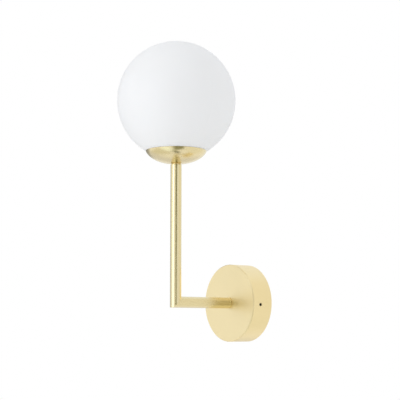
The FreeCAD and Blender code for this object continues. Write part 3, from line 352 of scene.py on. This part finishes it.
def threaded_tube(name, node, axis, across):
    """A hollow nipple with a real helical thread; axis and across are directions at right angles."""
    low, high = corners(node)
    length = abs((high - low).dot(axis))
    start = (low + high) / 2 - axis * (length / 2)
    third = axis.cross(across)
    rows = round(length / THREAD_PITCH * ROWS_PER_TURN)
    heights = [length * row / rows for row in range(rows + 1)]
    rings = [(0.0, [THREAD_BORE] * THREAD_SIDES)]
    for height in heights:
        rings.append((height, [thread_radius(height, length, step) for step in range(THREAD_SIDES)]))
    rings.append((length, [THREAD_BORE] * THREAD_SIDES))
    points = []
    faces = []
    for row, (height, radii) in enumerate(rings):
        after = (row + 1) % len(rings)
        for step, radius in enumerate(radii):
            turn = 2 * math.pi * step / THREAD_SIDES
            out = across * math.cos(turn) + third * math.sin(turn)
            points.append((start + axis * height + out * radius) * MM)
            beside = (step + 1) % THREAD_SIDES
            faces.append((row * THREAD_SIDES + step, row * THREAD_SIDES + beside,
                          after * THREAD_SIDES + beside, after * THREAD_SIDES + step))
    mesh = bpy.data.meshes.new(name)
    mesh.from_pydata(points, [], faces)
    finish_piece(name, mesh, node, "lamp", TURNED, THREAD_SHARP)


def cut_node(name, node, body, boxes):
    """A zinc-plated copy of a node with boxes cut out; each box is (centre, three half edges)."""
    form = bmesh.new()
    form.from_mesh(nodes[node].data)
    bmesh.ops.remove_doubles(form, verts=form.verts, dist=WELD_GAP * MM)
    mesh = bpy.data.meshes.new(name)
    form.to_mesh(mesh)
    form.free()
    cutters = bmesh.new()
    for centre, *halves in boxes:
        turn = Matrix([list(half) for half in halves]).transposed().to_4x4()
        place = Matrix.Translation(Vector(centre) * MM) @ turn @ Matrix.Scale(2 * MM, 4)
        bmesh.ops.create_cube(cutters, size=1.0, matrix=place)
    bmesh.ops.recalc_face_normals(cutters, faces=cutters.faces)
    tool_mesh = bpy.data.meshes.new("cutters")
    cutters.to_mesh(tool_mesh)
    cutters.free()
    tool = add_to_scene("cutters", tool_mesh)
    blank = add_to_scene("blank", mesh)
    change = blank.modifiers.new("cut", "BOOLEAN")
    change.solver = "EXACT"
    change.use_self = True  # the boxes of a cross recess overlap
    change.object = tool
    depsgraph = bpy.context.evaluated_depsgraph_get()
    shaped = bpy.data.meshes.new_from_object(blank.evaluated_get(depsgraph))
    bpy.data.objects.remove(blank)
    bpy.data.objects.remove(tool)
    shaped.name = name
    if "custom_normal" in shaped.attributes:
        shaped.attributes.remove(shaped.attributes["custom_normal"])
    finish_piece(name, shaped, node, body, ZINC)


def slot_box(top, out, along, size):
    """A slot of the given length, width and depth under the point top of a face that looks along out."""
    length, width, depth = size
    return Vector(top), along * (length / 2), out.cross(along) * (width / 2), out * depth


def toothed_washer(name, node, axis, across):
    """A washer with gaps round its rim that leave teeth."""
    low, high = corners(node)
    middle = (low + high) / 2
    third = axis.cross(across)
    outwards, sideways, through = GAP_HALF_SIZE
    gaps = []
    for step in range(TEETH):
        turn = 2 * math.pi * (step + 0.5) / TEETH
        out = across * math.cos(turn) + third * math.sin(turn)
        gaps.append((middle + out * GAP_RADIUS, out * outwards, axis.cross(out) * sideways, axis * through))
    cut_node(name, node, "lamp", gaps)


def cross_screw(name, node, body, out):
    """A screw on the light's middle plane with a cross recess in its head, which looks along out."""
    low, high = corners(node)
    top = Vector((0, high.y if out.y > 0 else low.y, (low.z + high.z) / 2))
    cut_node(name, node, body, [slot_box(top, out, along, CROSS_RECESS) for along in (X, Z)])


def holder_screws():
    low, high = corners("holder_screws")
    level = (low.z + high.z) / 2
    heads = zip((low.y, high.y), (-Y, Y), HOLDER_TILTS)
    cut_node("holder_slot_screws", "holder_screws", "lamp",
             [slot_box((0, place, level), out, (X + Z * tilt).normalized(), HOLDER_SLOT)
              for place, out, tilt in heads])


def terminal_screws():
    """Three columns of two clamp screws, each left at a turn of its own."""
    low, high = corners("terminal_screws")
    slots = []
    for column in range(3):
        for row in range(2):
            across = low.x + CLAMP_HEAD + column * (high.x - low.x - 2 * CLAMP_HEAD) / 2
            level = low.z + CLAMP_HEAD + row * (high.z - low.z - 2 * CLAMP_HEAD)
            tilt = math.radians(CLAMP_TURN + CLAMP_TURN_STEP * (2 * column + row))
            along = X * math.cos(tilt) + Z * math.sin(tilt)
            slots.append(slot_box((across, high.y, level), Y, along, CLAMP_SLOT))
    cut_node("terminal_slot_screws", "terminal_screws", "lamp", slots)


def block_screws():
    low, high = corners("block_screws")
    level = (low.z + high.z) / 2
    cut_node("block_slot_screws", "block_screws", "lamp",
             [slot_box((side, high.y, level), Y, (X + Z * side * BLOCK_TILT).normalized(), BLOCK_SLOT)
              for side in (low.x + BLOCK_HEAD, high.x - BLOCK_HEAD)])


threaded_tube("arm_thread", "arm_nipple", Y, X)
threaded_tube("cup_thread", "cup_nipple", Z, X)
toothed_washer("canopy_tooth_washer", "canopy_lock_washer", Y, X)
toothed_washer("cup_tooth_washer", "cup_lock_washer", Z, X)
cross_screw("earth_cross_screw", "earth_screw", "bracket", -Y)
cross_screw("tag_cross_screw", "tag_screw", "lamp", Y)
holder_screws()
terminal_screws()
block_screws()


# Stage, lights and camera

FLOOR = -0.62  # height of the floor
FLOOR_SIZE = 6.0
CARD_LIFT = 0.01  # height of a card over the floor
TOP_LIFT = 0.015  # height of a card that lies over another one
CARD_DISTANCE = 2.6

CAMERA_PLACE = Vector((1.0808, -0.9132, -0.0311))
CAMERA_TARGET = Vector((0.00396, -0.080, 0.12967))
CAMERA_ROLL = math.radians(0.07)
FOCAL_PIXELS = 1078.0
FRAME_PIXELS = 400.0
SENSOR = 36.0
MIDDLE = Vector((0.0, -0.1, 0.13))  # middle of the light


def area_lamp(name, place, target, width, height, radiance):
    """A soft box; its power follows from the radiance that a mirror would show."""
    data = bpy.data.lights.new(name, "AREA")
    data.shape = "RECTANGLE"
    data.size = width
    data.size_y = height
    data.energy = radiance * math.pi * width * height
    turn = (target - place).to_track_quat("-Z", "Y").to_matrix().to_4x4()
    add_to_scene(name, data).matrix_world = Matrix.Translation(place) @ turn


def plain_view(tree):
    """A socket that is 1 for what camera, metal and glass see, and 0 for light on matt surfaces."""
    path = tree.nodes.new("ShaderNodeLightPath")
    seen = path.outputs["Is Camera Ray"]
    for kind in ("Is Glossy Ray", "Is Transmission Ray"):
        both = tree.nodes.new("ShaderNodeMath")
        both.operation = "MAXIMUM"
        tree.links.new(seen, both.inputs[0])
        tree.links.new(path.outputs[kind], both.inputs[1])
        seen = both.outputs[0]
    return seen


def build_world(level, reflected):
    """White surroundings. Matt surfaces get light of the given level, and metals see the reflected colour."""
    world = bpy.data.worlds.new("studio")
    bpy.context.scene.world = world
    world.use_nodes = True
    tree = world.node_tree
    background = tree.nodes["Background"]
    strength = tree.nodes.new("ShaderNodeMapRange")
    set_inputs(strength, {"To Min": level, "To Max": 1.0})
    tree.links.new(plain_view(tree), strength.inputs["Value"])
    tree.links.new(strength.outputs[0], background.inputs["Strength"])
    tint = tree.nodes.new("ShaderNodeMix")
    tint.data_type = "RGBA"
    tint.inputs["A"].default_value = (*WHITE, 1.0)
    tint.inputs["B"].default_value = (*reflected, 1.0)
    path = tree.nodes.new("ShaderNodeLightPath")
    tree.links.new(path.outputs["Is Glossy Ray"], tint.inputs["Factor"])
    tree.links.new(tint.outputs["Result"], background.inputs["Color"])


def build_camera():
    """The camera of the photo; gives back the directions in which it looks and to its right."""
    data = bpy.data.cameras.new("camera")
    data.sensor_width = SENSOR
    data.sensor_fit = "HORIZONTAL"
    data.lens = FOCAL_PIXELS / FRAME_PIXELS * SENSOR
    camera = add_to_scene("camera", data)
    forward = (CAMERA_TARGET - CAMERA_PLACE).normalized()
    level = forward.cross(Z).normalized()
    steep = level.cross(forward)
    right = level * math.cos(CAMERA_ROLL) + steep * math.sin(CAMERA_ROLL)
    up = steep * math.cos(CAMERA_ROLL) - level * math.sin(CAMERA_ROLL)
    turn = Matrix((right, up, -forward)).transposed().to_4x4()
    camera.matrix_world = Matrix.Translation(CAMERA_PLACE) @ turn
    bpy.context.scene.camera = camera
    return forward, right


forward, right = build_camera()
level_back = Vector((-forward.x, -forward.y, 0)).normalized()
level_right = Vector((right.x, right.y, 0)).normalized()


def around(angle, distance, height):
    """A place round the light; the angle counts from the camera to its right."""
    turn = math.radians(angle)
    out = level_back * math.cos(turn) + level_right * math.sin(turn)
    return MIDDLE + out * distance + Z * height


def build_floor(color, share, near, far):
    """A matt floor. Camera, metal and glass see a share of it as white near the light, all of it far off."""
    half = FLOOR_SIZE / 2
    mesh = bpy.data.meshes.new("floor")
    mesh.from_pydata([(-half, -half, 0), (half, -half, 0), (half, half, 0), (-half, half, 0)],
                     [], [(0, 1, 2, 3)])
    plane = add_to_scene("floor", mesh)
    plane.matrix_world = Matrix.Translation((0, 0, FLOOR))
    mesh.materials.append(Surface("floor", color, 0.9).material)

    tree = mesh.materials[0].node_tree
    place = tree.nodes.new("ShaderNodeTexCoord")
    away = tree.nodes.new("ShaderNodeVectorMath")
    away.operation = "LENGTH"
    tree.links.new(place.outputs["Object"], away.inputs[0])
    fade = tree.nodes.new("ShaderNodeMapRange")
    set_inputs(fade, {"From Min": near, "From Max": far, "To Min": share, "To Max": 1.0})
    tree.links.new(away.outputs["Value"], fade.inputs["Value"])
    part = tree.nodes.new("ShaderNodeMath")
    part.operation = "MULTIPLY"
    tree.links.new(plain_view(tree), part.inputs[0])
    tree.links.new(fade.outputs[0], part.inputs[1])
    glow = tree.nodes.new("ShaderNodeEmission")
    mix = tree.nodes.new("ShaderNodeMixShader")
    tree.links.new(part.outputs[0], mix.inputs["Fac"])
    tree.links.new(tree.nodes["Principled BSDF"].outputs[0], mix.inputs[1])
    tree.links.new(glow.outputs[0], mix.inputs[2])
    tree.links.new(mix.outputs[0], tree.nodes["Material Output"].inputs["Surface"])


def flag(name, points, glow):
    """A card of the given radiance that only reflections see, as the darker room behind a camera."""
    mesh = bpy.data.meshes.new(name)
    mesh.from_pydata(points, [], [(0, 1, 2, 3)])
    card = add_to_scene(name, mesh)
    mesh.materials.append(Surface(name, (0.0, 0.0, 0.0), 1.0, Emission_Color=(*glow, 1.0),
                                  Emission_Strength=1.0).material)
    card.visible_camera = False
    card.visible_diffuse = False
    card.visible_shadow = False
    card.visible_transmission = False


def floor_card(name, places, glow, lift=CARD_LIFT):
    """A card on the floor; each place is (angle, distance) from the light's middle."""
    points = [around(angle, distance, 0) for angle, distance in places]
    flag(name, [(point.x, point.y, FLOOR + lift) for point in points], glow)


def upright_card(name, start, stop, glow, bottom=-0.8, top=2.0):
    """A standing card between two angles; bottom and top count from the light's middle."""
    places = ((start, bottom), (stop, bottom), (stop, top), (start, top))
    flag(name, [tuple(around(angle, CARD_DISTANCE, height)) for angle, height in places], glow)


build_floor((0.94, 0.94, 0.94), 0.75, 0.8, 2.8)
upright_card("dark_card", -10, 22, (0.18, 0.18, 0.08), bottom=-0.02)
upright_card("grey_card", -10, 22, (0.60, 0.60, 0.48), top=-0.02)
upright_card("left_card", -165, -125, (0.35, 0.36, 0.38))
floor_card("dark_floor", ((-15, 0.40), (38, 0.48), (33, 2.6), (-12, 2.6)), (0.25, 0.25, 0.13))
floor_card("stripe_floor", ((-60, 0.2), (10, 0.2), (6, 0.39), (-18, 0.39)), (0.40, 0.40, 0.26), TOP_LIFT)
floor_card("bright_floor", ((-66, 0.3), (-26, 0.3), (-26, 1.4), (-66, 1.4)), (1.1, 1.2, 1.2))
floor_card("near_floor", ((-120, 0.08), (120, 0.11), (30, 0.19), (-16, 0.19)), (0.10, 0.10, 0.05))
floor_card("back_floor", ((158, 0.85), (-130, 0.85), (-130, 2.6), (158, 2.6)), (0.76, 0.76, 0.78))
floor_card("left_floor", ((-130, 0.2), (-72, 0.2), (-72, 1.6), (-130, 1.6)), (0.78, 0.76, 0.66))
upright_card("right_card", 55, 120, (0.88, 0.86, 0.78), top=3.0)
floor_card("right_floor", ((50, 0.5), (130, 0.5), (130, 2.59), (50, 2.59)), (0.89, 0.88, 0.81))
area_lamp("left_box", around(-56, 2.2, 0.2), MIDDLE, 1.0, 1.7, 1.4)
build_world(0.90, (0.93, 0.96, 1.0))

bpy.context.scene.view_settings.view_transform = "Standard"
